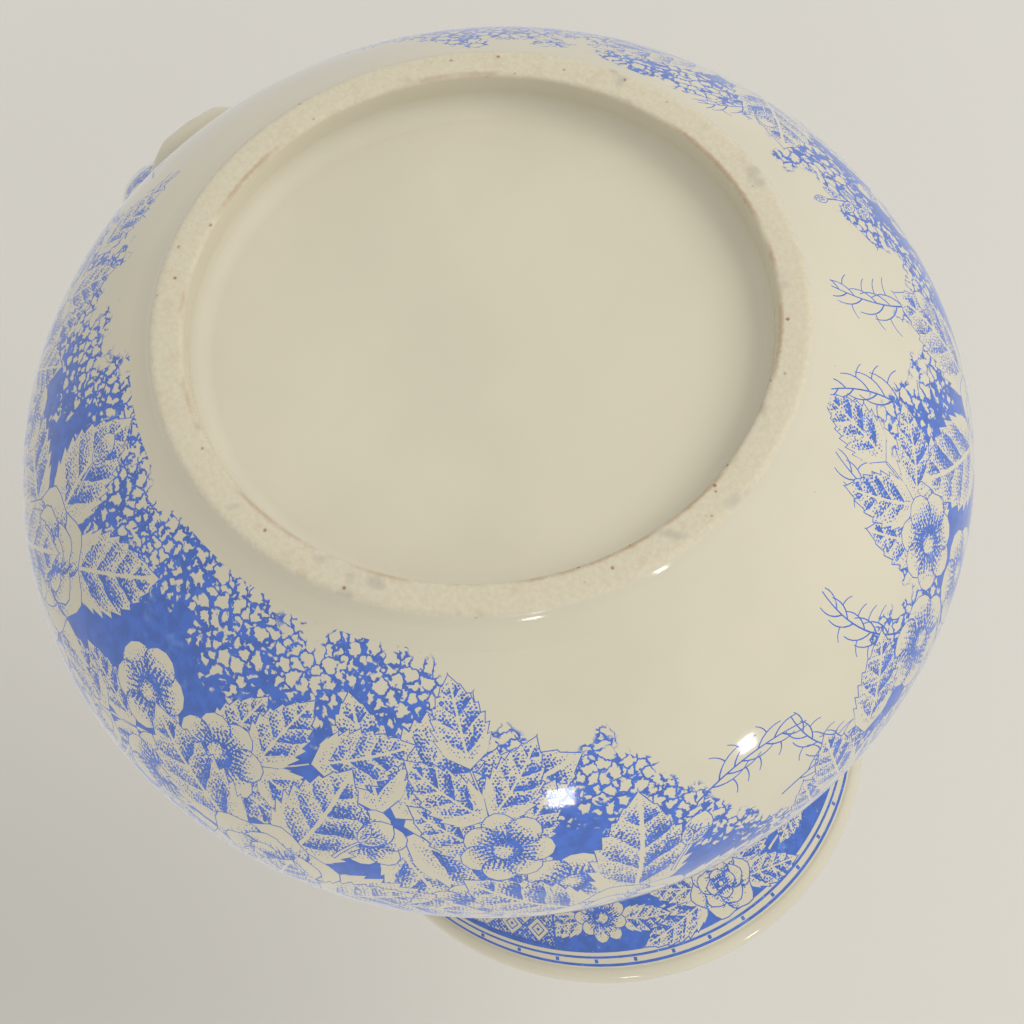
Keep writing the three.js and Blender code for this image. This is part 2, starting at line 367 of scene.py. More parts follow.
def stalk(pen, points, thick, thin, kind=RESERVE, line=0.0):
    """A ribbon along a line, which gets thinner."""
    side = left_of(np.gradient(points, axis=0)) * np.linspace(thick, thin, len(points))[:, None] / 2
    ribbon = np.concatenate([points + side, (points - side)[::-1]])
    if line:
        outlined(pen, kind, ribbon, line, length=10, width=thick)
    else:
        pen.fill(kind, ribbon, length=10, width=thick)


def arc(start, angle, curl, length, count=9):
    """Points of a line that leaves at an angle and curls by so many radians."""
    points, direction = [np.array(start, float)], angle
    for i in range(count):
        direction += curl / count
        points.append(points[-1] + length / count * np.array([math.cos(direction), math.sin(direction)]))
    return np.array(points)


def compound_leaf(pen, length, pairs=2):
    """Leaflets in pairs along a stalk, and one at its tip."""
    spine = arc((0, 0), -0.12, 0.24, length * 0.62)
    stalk(pen, spine, 1.5, 0.8, RESERVE, 0.25)
    for i in range(pairs):
        share = 0.28 + 0.6 * i / pairs
        foot = spine[int(share * 9)]
        for side in (-1, 1):
            size = length * (0.42 + 0.07 * math.sin(math.pi * share))
            leaf(pen.moved(*foot, turn=side * (1.0 - 0.25 * share)), size, size * 0.30, 8, -0.12 * side)
    leaf(pen.moved(*spine[-1]), length * 0.52, length * 0.16, 9, 0.03)


def petal_line(root, tip, width, notch=0.0, fullness=0.62):
    """Outline of a petal along +x from its root to its tip."""
    side = []
    for i in range(1, 7):
        share = i / 7
        swell = math.sin(math.pi * share ** (1 / (0.4 + fullness))) ** 0.7
        side.append((root + (tip - root) * share, width * (0.16 * (1 - share) + swell)))
    upper = [(root, 0.12 * width)] + side
    return np.array(upper + [(tip - notch, 0.0)] + [(x, -y) for x, y in reversed(upper)])


def daisy(pen, radius, petals=9, turn=0.0):
    """An open flower of narrow petals round a dotted heart."""
    for i in range(petals):
        long = radius * (1 - 0.07 * (i % 3 == 1))
        width = radius * 2.35 / petals
        points = petal_line(radius * 0.2, long, width, radius * 0.05)
        outlined(pen.moved(turn=turn + FULL_TURN * i / petals), PETAL, points, 0.24, length=long,
                 width=width)
    outlined(pen, HEART, circle(radius * 0.3, 14), 0.4, length=radius * 0.3, width=radius * 0.3)


def rose(pen, radius):
    """A full rose: broad petals in rings, each ring over the outer one, and a closed middle."""
    a = np.linspace(0, FULL_TURN, 17)[:-1]
    for ring, (reach, count, size) in enumerate([(0.62, 6, 0.46), (0.42, 5, 0.36), (0.24, 4, 0.26)]):
        wave = 1 + 0.07 * np.cos(3 * a) + 0.05 * np.cos(5 * a + ring)
        blob = radius * np.c_[reach + size * 0.9 * wave * np.cos(a), size * 1.08 * wave * np.sin(a)]
        for i in range(count):
            angle = FULL_TURN * (i + 0.37 * ring) / count + 0.2 * ring
            outlined(pen.moved(turn=angle), PETAL, blob, 0.3, length=radius * (reach + size),
                     width=radius * size)
    for share, kind in ((0.24, INK), (0.2, PETAL), (0.11, INK), (0.07, RESERVE)):
        pen.fill(kind, circle(radius * share, 10), length=radius * 0.5, width=radius * 0.4)


def bud(pen, length):
    """A closed bud on a stalk, with small leaves round it."""
    stalk(pen, arc((-length * 0.9, -length * 0.12), 0.3, -0.35, length), 1.1, 0.8, RESERVE, 0.22)
    body = petal_line(0, length, length * 0.32, fullness=0.5)
    outlined(pen, PETAL, body, 0.26, length=length, width=length * 0.32)
    for side in (-1, 1):
        smooth_leaf(pen.moved(turn=side * 0.42), length * 0.62, length * 0.13, 0.22)


def berries(pen, size, count=3):
    for i in range(count):
        end = arc((0, 0), (i - (count - 1) / 2) * 0.75, 0.2 * (i - 1), size * 2.6, 5)
        stalk(pen, end, 0.45, 0.35, INK)
        outlined(pen, HEART, circle(size, 12, end[-1]), 0.3, length=size, width=size)


def tendril(pen, length, curl, hooks=9, weight=0.5):
    """A thin inked stem with small hooks to both sides."""
    line = arc((0, 0), 0, curl, length, 14)
    stalk(pen, line, weight, weight * 0.6, INK)
    for i in range(hooks):
        k = 2 + int(11 * i / hooks)
        run = line[k] - line[k - 1]
        angle, side = math.atan2(run[1], run[0]), 1 if i % 2 else -1
        size = length * (0.34 - 0.12 * i / hooks)
        hook = arc(line[k], angle + side, side * -1.2, size, 6)
        stalk(pen, hook, weight * 0.85, weight * 0.5, INK)
        if i < hooks - 2:
            twig = arc(hook[3], angle + side * 1.5, side * 0.9, size * 0.45, 5)
            stalk(pen, twig, weight * 0.7, weight * 0.45, INK)


def smooth_leaf(pen, length, width, line=0.25):
    outlined(pen, LEAF, petal_line(0, length, width), line, length=length, width=width)


def sprig(pen, length, leaves=5):
    """A stem with small smooth leaves."""
    line = arc((0, 0), -0.1, 0.5, length, 12)
    stalk(pen, line, 0.7, 0.5, INK)
    for i in range(leaves):
        k = 3 + int(8 * i / leaves)
        run = line[k] - line[k - 1]
        side = 1 if i % 2 else -1
        smooth_leaf(pen.moved(*line[k], turn=math.atan2(run[1], run[0]) + side * 0.7), length * 0.27,
                    length * 0.07)
    smooth_leaf(pen.moved(*line[-1], turn=0.4), length * 0.24, length * 0.06)


def rose_bunch(pen, draw):
    for i in range(5):
        angle = FULL_TURN * i / 5 + draw.uniform(-0.18, 0.18)
        long = draw.uniform(33, 41)
        leaf(pen.moved(turn=angle).moved(9), long, long * 0.32, 10, draw.uniform(-0.14, 0.14))
    for angle in (0.5, 3.6):
        bud(pen.moved(turn=angle + draw.uniform(-0.2, 0.2)).moved(30), 11)
    rose(pen, draw.uniform(15.5, 17.5))


def daisy_bunch(pen, draw):
    for i in range(2):
        angle = math.pi * i + draw.uniform(-0.2, 0.2)
        compound_leaf(pen.moved(turn=angle).moved(5), draw.uniform(46, 54))
    for i in range(3):
        angle = FULL_TURN * (i + 0.5) / 3 + draw.uniform(-0.25, 0.25)
        daisy(pen.moved(turn=angle).moved(13.5), draw.uniform(11.5, 13.5), 6 + i % 2, draw.uniform(0, 1))
    berries(pen.moved(turn=draw.uniform(0, 6)).moved(19), 1.5)


def leaf_bunch(pen, draw):
    for i in range(5):
        angle = -1.4 + 0.7 * i + draw.uniform(-0.1, 0.1)
        long = (32, 39, 45, 39, 32)[i]
        leaf(pen.moved(turn=angle).moved(4), long, long * 0.31, 11, 0.05 * (i - 2))
    bud(pen.moved(turn=2.6).moved(10), 11)
    daisy(pen.moved(turn=3.4).moved(6), 10.5, 7)


# Where the print's dense ground begins, going round from the spout, and where it ends below the neck
GROUND_FOOT = [(-180, 60), (-160, 22), (-120, 15), (-95, 17), (-70, 26), (-50, 31), (-35, 23), (-16, 46),
               (0, 66),
               (14, 48), (26, 29), (45, 17), (65, 12), (115, 13), (140, 20), (158, 34), (180, 60)]
GROUND_TOP = [(-180, 84), (-150, 104), (-80, 108), (-30, 104), (0, 92), (30, 106), (90, 112), (150, 106),
              (180, 84)]
# Each bunch by its turn in degrees, height, kind and the way it points
BUNCHES = [
    (50, 37, "leaf", 200), (78, 39, "daisy", 30), (107, 36, "rose", 75), (134, 43, "daisy", 140),
    (157, 56, "leaf", 100), (36, 53, "daisy", 100), (64, 62, "rose", 20), (95, 66, "leaf", 80),
    (122, 67, "rose", 10), (143, 73, "daisy", 60), (24, 78, "rose", 40), (50, 90, "daisy", 150),
    (76, 92, "daisy", 20), (101, 91, "rose", 60), (130, 96, "leaf", 20), (-27, 46, "daisy", 80),
    (-52, 56, "rose", 30), (-80, 42, "leaf", 120), (-106, 36, "rose", 100), (-135, 42, "daisy", 10),
    (-158, 52, "leaf", 60), (-35, 84, "daisy", 10), (-66, 92, "daisy", 70), (-95, 80, "daisy", 160),
    (-124, 76, "rose", 50), (-150, 82, "daisy", 90), (2, 86, "daisy", 45),
]
# Each loose stem by its turn, height, length and the way it points
LOOSE = [
    (4, 52, 26, 200), (14, 40, 22, 215), (352, 56, 22, 330), (170, 38, 24, 100), (163, 22, 20, 60),
    (150, 15, 16, 20), (196, 34, 22, 80), (206, 16, 16, 130), (262, 20, 20, 280), (286, 28, 24, 250),
    (300, 24, 26, 300), (318, 22, 26, 260), (330, 30, 24, 300), (342, 40, 22, 320), (35, 118, 18, 60),
    (80, 121, 16, 100), (125, 121, 18, 80), (-40, 117, 18, 110), (-90, 119, 16, 60), (-140, 119, 18, 100),
]


def ground_strength(turn, height, wobble):
    """From 0 on bare glaze to 1 on solid blue, for a turn in radians and a height."""
    turn = np.degrees(turn)
    low = np.interp(turn, *zip(*GROUND_FOOT)) - 12 + wobble
    high = np.interp(turn, *zip(*GROUND_TOP)) + 8 + wobble
    return np.clip(np.minimum((height - low) / 31, (high - height) / 20), 0, 1)


def body_print(strip, seed):
    """All outlines of the body's print, in the order in which they cover each other."""
    shapes, draw = [], random.Random(seed)
    makers = {"rose": rose_bunch, "daisy": daisy_bunch, "leaf": leaf_bunch}
    for turn, height, length, way in LOOSE:
        pen = Pen(shapes, strip, strip.spot(turn, height), math.radians(way))
        if draw.random() < 0.72:
            tendril(pen, length * 1.4, draw.choice((-0.9, 0.9)))
        else:
            sprig(pen, length)
    for turn, height, kind, way in BUNCHES:
        makers[kind](Pen(shapes, strip, strip.spot(turn, height), math.radians(way)), draw)
    return shapes


def lip_print(strip):
    """The border under the rim: a reserved band of flowers between thin lines; lattice_panels lets the lattice
    panels into it.
    """
    shapes, seam, ticks = [], 2.5e-3, 46
    pen = Pen(shapes, strip, (0, 0.8))

    def band(low, high, start=seam - math.pi, end=math.pi - seam, count=160):
        turns = np.linspace(start, end, count)
        outline = np.concatenate([np.c_[turns, 0 * turns + low], np.c_[turns, 0 * turns + high][::-1]])
        shapes.append(Shape(INK, outline, pen, 1.0, 1.0, 0.0))

    band(0.45, 0.944)
    band(0.956, 0.964)
    band(0.981, 0.990)
    for i in range(ticks):
        turn = -math.pi + FULL_TURN * (i + 0.5) / ticks
        band(0.966, 0.979, turn, turn + 0.012, 3)

    def middle(turn):
        return Pen(shapes, strip, strip.spot(turn, 0.85 - 0.13 * min(1, abs(turn) / 100)))

    for turn in (3, 70, 118, -45, -88, -136):
        pen = middle(turn)
        for way in (0, math.pi):
            leaf(pen.moved(turn=way + 0.25).moved(5), 21, 5.2, 8, 0.06)
            leaf(pen.moved(turn=way - 0.35).moved(5), 17, 4.6, 7, -0.06)
            bud(pen.moved(turn=way - 0.05).moved(22), 7)
        rose(pen, 8.6)
    for turn in (24, -20, 94, -66, -112, 146):
        pen = middle(turn)
        for way in (0.2, math.pi - 0.2):
            leaf(pen.moved(turn=way).moved(4), 14, 4, 7, 0.06)
        daisy(pen, 7.4, 9)
    return shapes


def lattice_panels(shapes, strip):
    """Panels of diamonds, each with a smaller one and a dot inside it, let into the border."""
    half, cell = 17.0, 6.4
    for centre, share, rise in ((44, 0.765, 0.172), (168, 0.69, 0.235), (-164, 0.69, 0.235)):
        middle = strip.spot(centre, share)
        pen = Pen(shapes, strip, middle)
        reach = rise * steepness(strip, middle)[1]
        panel = np.array([(-half, -reach), (half, -reach), (half, reach), (-half, reach)])
        pen.fill(INK, panel)
        pen.fill(LATTICE, panel * 0.97)
        for row in range(12):
            for column in range(-3, 4):
                x = (column + 0.5 * (row % 2)) * cell
                y = reach - 3.3 - row * cell * 0.5
                if abs(x) > half - 2.8 or y < 2.9 - reach:
                    continue
                for size, kind in ((2.85, INK), (2.55, RESERVE), (1.6, INK), (1.25, RESERVE), (0.45, INK)):
                    diamond = [(x + size, y), (x, y + size * 0.94), (x - size, y), (x, y - size * 0.94)]
                    pen.fill(kind, diamond)


# --- Building meshes --------------------------------------------------------------------------------


def unselect_all():
    if bpy.context.object and bpy.context.object.mode != "OBJECT":
        bpy.ops.object.mode_set(mode="OBJECT")
    bpy.ops.object.select_all(action="DESELECT")


def choose(piece):
    unselect_all()
    piece.select_set(True)
    bpy.context.view_layer.objects.active = piece


def edit_only(piece):
    choose(piece)
    bpy.ops.object.mode_set(mode="EDIT")
    bpy.ops.mesh.select_all(action="SELECT")


def end_edit(smooth=None):
    """Turns every face outwards and leaves edit mode, and smooths the shading up to an angle in degrees."""
    bpy.ops.mesh.select_all(action="SELECT")
    bpy.ops.mesh.normals_make_consistent(inside=False)
    bpy.ops.object.mode_set(mode="OBJECT")
    if smooth:
        bpy.ops.object.shade_smooth_by_angle(angle=math.radians(smooth))


def read(items, name, width=1, kind=float):
    """One value of every item of a mesh, as an array."""
    values = np.zeros(len(items) * width, kind)
    items.foreach_get(name, values)
    return values.reshape(-1, width) if width > 1 else values


def drawn_section(name, points):
    """Draws a section beside the axis, one extruded point after another."""
    unselect_all()
    places = [Vector(in_frame((radius, 0, height))) for radius, height in points]
    bpy.ops.mesh.primitive_plane_add(size=0.001, location=places[0])
    piece = bpy.context.object
    piece.name = piece.data.name = name
    bpy.ops.object.transform_apply(location=True, rotation=True, scale=True)
    bpy.ops.object.mode_set(mode="EDIT")
    bpy.ops.mesh.select_all(action="SELECT")
    bpy.ops.mesh.merge(type="CENTER")
    for here, there in zip(places, places[1:]):
        bpy.ops.mesh.extrude_vertices_move(TRANSFORM_OT_translate={"value": there - here})
    bpy.ops.object.mode_set(mode="OBJECT")
    return piece


def turned_piece(name, points, steps=224, smooth=35.0):
    """A section spun once round the pot's axis."""
    piece = drawn_section(name, points)
    edit_only(piece)
    bpy.ops.mesh.spin(steps=steps, angle=FULL_TURN, center=(AXIS_X, 0, 0), axis=(0, 0, 1))
    bpy.ops.mesh.select_all(action="SELECT")
    bpy.ops.mesh.remove_doubles(threshold=2e-6)
    bpy.ops.mesh.delete_loose()
    end_edit(smooth)
    return piece


def wrapped_grid(name, columns, rows, place, mapped=True):
    """A grid primitive whose points are laid on a form; place takes shares across and up."""
    unselect_all()
    bpy.ops.mesh.primitive_grid_add(x_subdivisions=columns, y_subdivisions=rows, size=1)
    piece = bpy.context.object
    piece.name = piece.data.name = name
    shares = read(piece.data.vertices, "co", 3)[:, :2] + 0.5
    if mapped:
        piece.data.uv_layers.remove(piece.data.uv_layers[0])
        layer = piece.data.uv_layers.new(name="Along")
        layer.data.foreach_set("uv", shares[read(piece.data.loops, "vertex_index", kind=int)].ravel())
    piece.data.vertices.foreach_set("co", in_frame(place(shares[:, 0], shares[:, 1])).ravel())
    piece.data.update()
    return piece


def grid_beside(strip, shapes):
    """The strip's grid points that don't crowd the drawn lines; those on its edge all stay."""
    across = np.linspace(-math.pi, math.pi, strip.columns + 1)
    up = np.linspace(0, strip.height, strip.rows + 1)
    grid = np.stack(np.meshgrid(across, up), -1).reshape(-1, 2)
    lines = np.concatenate([shape.outline for shape in shapes])
    near = kdtree.KDTree(len(lines))
    for i, point in enumerate(lines):
        near.insert((*point, 0), i)
    near.balance()
    rim = (np.abs(grid[:, 0]) > math.pi - 1e-6) | (np.abs(grid[:, 1] * 2 / strip.height - 1) > 1 - 1e-6)
    room = 0.3 * min(across[1] - across[0], up[1] - up[0])
    return grid[[bool(edge) or near.find((*point, 0))[2] > room for edge, point in zip(rim, grid)]]


def cut_faces(strip, shapes):
    """Triangles of the strip along all outlines: their corners, and the corners' numbers by face."""
    points = [Vector(point) for point in grid_beside(strip, shapes)]
    edges = []
    for shape in shapes:
        loop = range(len(points), len(points) + len(shape.outline))
        points.extend(Vector(point) for point in shape.outline)
        edges.extend(zip(loop, [*loop[1:], loop[0]]))
    found, _, faces, *_ = delaunay_2d_cdt(points, edges, [], 0, 1e-7, False)
    flat, faces = np.array([tuple(point) for point in found]), np.array(faces)
    side_a, side_b = (flat[faces[:, k]] - flat[faces[:, 0]] for k in (1, 2))
    faces = faces[np.abs(side_a[:, 0] * side_b[:, 1] - side_a[:, 1] * side_b[:, 0]) > 1e-12]
    return flat, faces[np.argsort(flat[faces].mean(axis=1)[:, 0])]


def topmost(shapes, middles):
    """The number of the uppermost shape at each place, or -1; the places are sorted by their first value."""
    top = np.full(len(middles), -1)
    for index, shape in enumerate(shapes):
        low, high = shape.outline.min(axis=0), shape.outline.max(axis=0)
        start, end = np.searchsorted(middles[:, 0], (low[0], high[0]))
        near_by = start + np.flatnonzero((middles[start:end, 1] > low[1]) & (middles[start:end, 1] < high[1]))
        top[near_by[enclosed(shape.outline, middles[near_by])]] = index
    return top


def inlaid_skin(name, strip, shapes, materials):
    """The outside of a strip as one mesh, with the print's outlines let into it."""
    flat, faces = cut_faces(strip, shapes)
    top = topmost(shapes, flat[faces].mean(axis=1))
    mesh = bpy.data.meshes.new(name)
    for material in materials:
        mesh.materials.append(material)
    places = strip.face(flat[:, 0], flat[:, 1])
    mesh.from_pydata(in_frame(places).tolist(), [], faces.tolist())
    mesh.polygons.foreach_set("material_index", np.array([0] + [shape.kind for shape in shapes])[top + 1])
    values = np.zeros((len(faces), 3, 2))
    for index in np.unique(top[top >= 0]):
        shape, inside = shapes[index], top == index
        paper = shape.pen.on_paper(flat[faces[inside]].reshape(-1, 2))
        paper[:, 1] -= shape.bend * paper[:, 0] ** 2 / shape.length
        values[inside] = (paper / (shape.length, shape.width)).reshape(-1, 3, 2)
    mesh.uv_layers.new(name="Drawing").data.foreach_set("uv", values.ravel())
    normals = mesh.attributes.new("Skin", "FLOAT_VECTOR", "POINT")
    normals.data.foreach_set("vector", outward_normals(strip, flat[:, 0], flat[:, 1]).ravel())
    if isinstance(strip, BodyStrip):
        wobble = 3.5 * np.sin(flat[:, 0] * 11 + 1) + 2.5 * np.sin(flat[:, 0] * 23 + flat[:, 1] * 9)
        strength = mesh.attributes.new("Strength", "FLOAT", "POINT")
        strength.data.foreach_set("value", ground_strength(flat[:, 0], places[:, 2], wobble))
    mesh.update()
    piece = bpy.data.objects.new(name, mesh)
    bpy.context.collection.objects.link(piece)
    edit_only(piece)
    bpy.ops.mesh.remove_doubles(threshold=1e-7)
    end_edit()
    return piece


def walled(skin, lining):
    """Joins a skin and its lining at both open edges, so that they close a wall."""
    unselect_all()
    lining.data.materials.append(skin.data.materials[0])
    for piece in (lining, skin):
        piece.select_set(True)
    bpy.context.view_layer.objects.active = skin
    bpy.ops.object.join()
    edit_only(skin)
    bpy.ops.mesh.remove_doubles(threshold=1e-7)
    wall = bmesh.from_edit_mesh(skin.data)
    open_edges = [edge for edge in wall.edges if edge.is_boundary]
    middle = sum(edge.verts[0].co.z for edge in open_edges) / len(open_edges)
    for upper in (True, False):
        rim = {vertex for edge in open_edges for vertex in edge.verts if (vertex.co.z > middle) == upper}
        placed = sorted(((math.atan2(v.co.y, v.co.x - AXIS_X) + 1e-3) % FULL_TURN,
                         math.hypot(v.co.y, v.co.x - AXIS_X), v.index, v) for v in rim)
        pairs = [sorted(placed[i:i + 2], key=lambda spot: spot[1]) for i in range(0, len(placed), 2)]
        for (near_a, far_a), (near_b, far_b) in zip(pairs, pairs[1:] + pairs[:1]):
            wall.faces.new((near_a[-1], far_a[-1], far_b[-1], near_b[-1]))
    bmesh.update_edit_mesh(skin.data)
    end_edit()
    return skin


def smoothed(piece, angle=40.0):
    """Shades the piece smooth, with the skin's own exact normals where it has them."""
    choose(piece)
    bpy.ops.object.shade_smooth_by_angle(angle=math.radians(angle))
    mesh = piece.data
    exact = read(mesh.attributes["Skin"].data, "vector", 3)
    normals = exact[read(mesh.loops, "vertex_index", kind=int)]
    totals = read(mesh.polygons, "loop_total", kind=int)
    faces = np.repeat(read(mesh.polygons, "normal", 3), totals, axis=0)
    normals[np.sum(normals * faces, axis=1) < 0.5] = 0
    mesh.normals_split_custom_set(normals.tolist())
    mesh.attributes.remove(mesh.attributes["Skin"])
    return piece


def finish_piece(piece, nodes, materials=()):
    for material in materials:
        piece.data.materials.append(material)
    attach(piece, "root")
    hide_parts(*nodes)


# --- Glaze and print --------------------------------------------------------------------------------


class Tone:
    """A number worked out by a finish's nodes; sums and products with it add the nodes for them."""

    def __init__(self, finish, socket):
        self.finish, self.socket = finish, socket

    def __add__(self, other):
        return self.finish.math("ADD", self, other)

    def __sub__(self, other):
        return self.finish.math("SUBTRACT", self, other)

    def __rsub__(self, other):
        return self.finish.math("SUBTRACT", other, self)

    def __mul__(self, other):
        return self.finish.math("MULTIPLY", self, other)

    def __pow__(self, other):
        return self.finish.math("POWER", self, other)

    def __abs__(self):
        return self.finish.math("ABSOLUTE", self)


class Finish:
    """Builds the nodes of one finish. Sizes are in millimetres on the piece."""

    def __init__(self, name):
        self.material = bpy.data.materials.new(name)
        self.material.use_nodes = True
        self.tree = self.material.node_tree
        self.tree.nodes.clear()
        self.colours = bpy.context.scene.pitcher_finish
        metres = self.node("TexCoord").outputs["Object"]
        self.place = self.node("Mapping", {"Vector": metres, "Scale": (1000, 1000, 1000)}).outputs[0]

    def node(self, kind, inputs=None, **settings):
        made = self.tree.nodes.new("ShaderNode" + kind)
        for key, value in settings.items():
            setattr(made, key, value)
        for key, value in (inputs or {}).items():
            self.feed(made.inputs[key], value)
        return made

    def feed(self, socket, value):
        if isinstance(value, Tone):
            value = value.socket
        if isinstance(value, bpy.types.NodeSocket):
            self.tree.links.new(value, socket)
        elif hasattr(value, "__len__") and socket.type == "RGBA" and len(value) == 3:
            socket.default_value = (*value, 1)
        else:
            socket.default_value = value

    def math(self, operation, *values):
        made = self.node("Math", dict(enumerate(values)), operation=operation)
        return Tone(self, made.outputs[0])

    def step(self, value, low, high, to_low=0.0, to_high=1.0):
        """Goes smoothly from to_low to to_high as value goes from low to high."""
        made = self.node("MapRange", {"Value": value, "From Min": low, "From Max": high, "To Min": to_low,
                                      "To Max": to_high}, interpolation_type="SMOOTHSTEP")
        return Tone(self, made.outputs[0])

    def mix(self, share, first, second):
        return self.node("Mix", {0: share, 6: first, 7: second}, data_type="RGBA").outputs[2]

    def noise(self, size, detail=2.0, roughness=0.5):
        made = self.node("TexNoise", {"Vector": self.place, "Scale": 1 / size, "Detail": detail,
                                      "Roughness": roughness})
        return Tone(self, made.outputs["Fac"])

    def cells(self, size, feature="F1", randomness=1.0, place=None):
        made = self.node("TexVoronoi", {"Vector": self.place if place is None else place, "Scale": 1 / size,
                                        "Randomness": randomness}, feature=feature)
        return Tone(self, made.outputs["Distance"])

    def coordinates(self, vector):
        split = self.node("SeparateXYZ", {0: vector})
        return [Tone(self, output) for output in split.outputs]

    def drawing(self):
        """Along and across the drawn shape, from 0 to 1 and from -1 to 1."""
        return self.coordinates(self.node("UVMap", uv_map="Drawing").outputs[0])[:2]

    def stippled(self, tone):
        """Dots that grow with the tone until they run together."""
        dots = self.cells(self.colours.stipple * 1000, randomness=0.55)
        return self.step(self.math("MAXIMUM", tone, 0.0) ** 0.6 * 0.86 - dots, -0.07, 0.07)

    def shown(self, shader):
        self.tree.links.new(shader.outputs[0], self.node("OutputMaterial").inputs[0])
        return self.material

    def ceramic(self, colour, roughness, height, strength, distance, coat=None):
        """A glazed or bare surface with a relief of the given strength and depth in metres."""
        bump = self.node("Bump", {"Height": height, "Strength": strength, "Distance": distance})
        return self.shown(self.node("BsdfPrincipled", {
            "Base Color": colour, "Roughness": roughness, "IOR": 1.5, "Normal": bump.outputs[0],
            **(coat or {})}))

    def cream(self, low=0.965, high=1.03):
        """The bare glaze, a little cloudy."""
        cream = self.colours.cream
        return self.mix(self.step(self.noise(45, 3), 0.3, 0.7), [part * low for part in cream],
                        [min(1, part * high) for part in cream])

    def glazed(self, ink=None):
        """A glossy cream glaze with fired specks, over a print whose share of ink is given."""
        colours = self.colours
        speck = self.step(self.cells(13.0), 0.018, 0.012) * self.step(self.noise(5.0, 1), 0.48, 0.56)
        colour = self.mix(speck * 0.75, self.cream(), tint(92, 72, 52))
        if ink is not None:
            thin = self.step(self.noise(9, 3, 0.6), 0.62, 0.74)
            dark = self.step(self.noise(3.0), 0.35, 0.65)
            blue = self.mix(dark, [part * 0.86 for part in colours.ink],
                            [min(1, part * 1.1) for part in colours.ink])
            blue = self.mix(thin * 0.6, blue, tuple(colours.pale_ink))
            colour = self.mix(ink * 0.96, colour, blue)
        height = self.noise(16) * 0.16 + self.noise(1.6) * 0.006
        return self.ceramic(colour, colours.gloss, height, 0.35, 0.001,
                            {"Coat Weight": 0.3, "Coat Roughness": 0.03})


def ground_finish():
    """Small cream florets with spiky blue outlines, which close up to solid blue."""
    finish = Finish("printed ground")
    strength = Tone(finish, finish.node("Attribute", attribute_name="Strength").outputs["Fac"])
    bent = finish.node("TexNoise", {"Vector": finish.place, "Scale": 1 / 1.5, "Detail": 2.0}).outputs["Color"]
    for operation, by in (("ADD", (-0.5, -0.5, -0.5)), ("MULTIPLY", (2.6, 2.6, 2.6)), ("ADD", finish.place)):
        bent = finish.node("VectorMath", {0: bent, 1: by}, operation=operation).outputs[0]
    edge = finish.cells(finish.colours.floret * 1000, "DISTANCE_TO_EDGE", place=bent)
    full = strength + (finish.noise(6.5) - 0.5) * 0.75
    line = finish.step(finish.step(full, 0.1, 0.72, 0.07, 0.26) - edge, -0.03, 0.03)
    line = line * finish.step(finish.noise(1.6, 0), 0.26, 0.34)
    there = finish.step(full, 0.10, 0.17) * finish.step(strength, 0.01, 0.06)
    solid = finish.step(full + finish.noise(1.3, 1) * 0.12, 0.66, 0.72)
    return finish.glazed(finish.math("MAXIMUM", line * there, solid))


def leaf_finish():
    """Pale veins with stippled shade on one side of each, and a pale edge."""
    finish = Finish("printed leaf")
    along, across = finish.drawing()
    side = abs(across)
    rib = finish.math("FRACT", along * 5.2 - side * 1.35 + finish.noise(4.0, 1) * 0.35)
    shade = (1.0 - rib) ** 1.1 * 0.72 + 0.2
    inside = along * (1.02 - along) * 4.0 - side
    veins = finish.step(rib, 0.0, 0.06) * finish.step(side, 0.025, 0.055)
    lean = finish.step(across, -0.2, 0.2, 1.0, 0.68)
    return finish.glazed(finish.stippled(shade * finish.step(inside, 0.05, 0.55) * lean * veins))


def petal_finish():
    """Cream petals with fine lines and dots that thicken towards the root."""
    finish = Finish("printed petal")
    along, across = finish.drawing()
    root = finish.step(along, 0.2, 0.85, 0.85, 0.0)
    streak = finish.step(abs(finish.math("FRACT", across * 3.5) - 0.5), 0.1, 0.3, 1.25, 0.6)
    edge = finish.step(abs(across), 0.55, 1.0, 0.0, 0.3)
    return finish.glazed(finish.stippled(root * streak + edge * 0.5))


def heart_finish():
    """A flower's middle or a berry: round shade with a light spot."""
    finish = Finish("printed heart")
    along, across = finish.drawing()
    reach = finish.math("SQRT", (along + 0.25) ** 2.0 + (across - 0.25) ** 2.0)
    return finish.glazed(finish.stippled(finish.step(reach, 0.2, 1.1, 0.12, 0.85)))


def line_finish():
    """Solid ink, thinner in small spots."""
    finish = Finish("ink line")
    return finish.glazed(finish.step(finish.noise(0.9, 1), 0.2, 0.34, 0.6, 1.0))


def panel_finish():
    """Pale blue of fine dots, between the lattice's diamonds."""
    finish = Finish("printed lattice ground")
    return finish.glazed(finish.stippled(finish.step(finish.noise(8, 1), 0.3, 0.7, 0.42, 0.6)))


def printed_finishes():
    """One finish for each kind of shape, in the kinds' order, with the ground first."""
    if "printed ground" not in bpy.data.materials:
        return [ground_finish(), leaf_finish(), petal_finish(), heart_finish(), line_finish(),
                Finish("reserved cream").glazed()]
    names = ("printed ground", "printed leaf", "printed petal", "printed heart", "ink line", "reserved cream")
    return [bpy.data.materials[name] for name in names]


